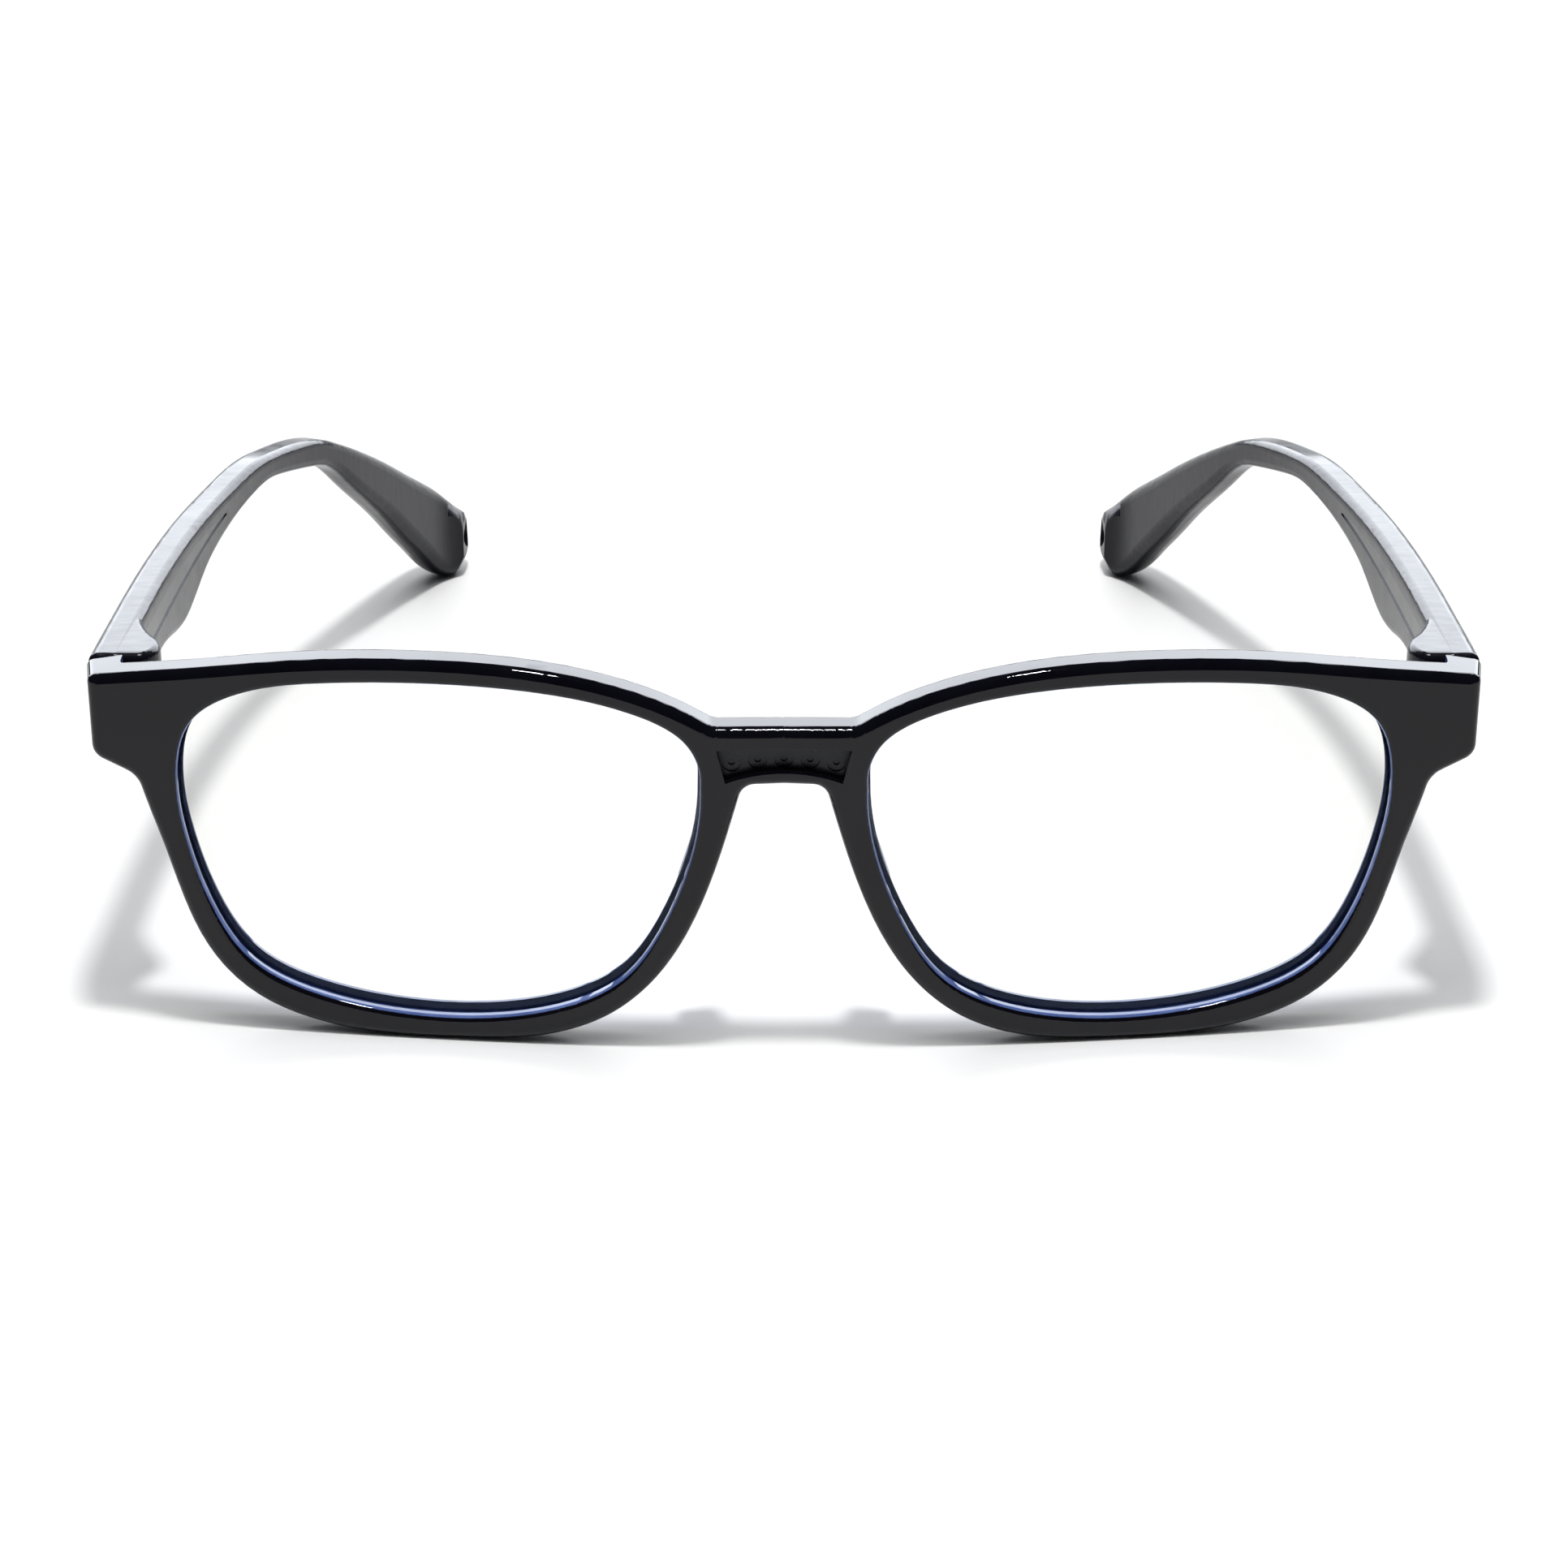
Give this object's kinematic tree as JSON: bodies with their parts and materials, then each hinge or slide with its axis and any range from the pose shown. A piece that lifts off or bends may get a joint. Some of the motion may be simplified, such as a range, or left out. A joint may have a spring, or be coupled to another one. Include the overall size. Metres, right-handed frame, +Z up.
{
  "type": "blue light glasses",
  "caption": "Child's blue light glasses: glossy one-piece front, clear coated lenses and folding flexible temples with a strap hole in each tip.",
  "frame": {"origin": "middle of the footprint, on the table that the open glasses stand on", "axes": "+X across the face towards the wearer's left, +Y from the front back to the temple tips, +Z up"},
  "size_m": [0.1244, 0.1181, 0.0371],
  "materials": {
    "front": "glossy black moulding",
    "lens": "clear with a blue reflecting coating",
    "hinge": "satin black nylon",
    "screw": "bright steel",
    "core": "glossy black moulding",
    "sleeve": "glossy black soft moulding"
  },
  "bodies": {
    "front": {"front_frame": "front", "right_lens": "lens", "left_lens": "lens", "right_front_hinge": "hinge", "left_front_hinge": "hinge"},
    "right_temple": {"right_temple_sleeve": "sleeve", "right_temple_core": "core", "right_hinge_screw": "screw"},
    "left_temple": {"left_temple_sleeve": "sleeve", "left_temple_core": "core", "left_hinge_screw": "screw"}
  },
  "joints": [
    {"name": "right_temple_fold", "type": "hinge", "parent": "front", "child": "right_temple", "pos_m": [-0.0586, -0.0451, 0.03], "axis": [0, 0, -1], "range_deg": [0, 79]},
    {"name": "left_temple_fold", "type": "hinge", "parent": "front", "child": "left_temple", "pos_m": [0.0586, -0.0451, 0.03], "axis": [0, 0, 1], "range_deg": [0, 72]}
  ]
}
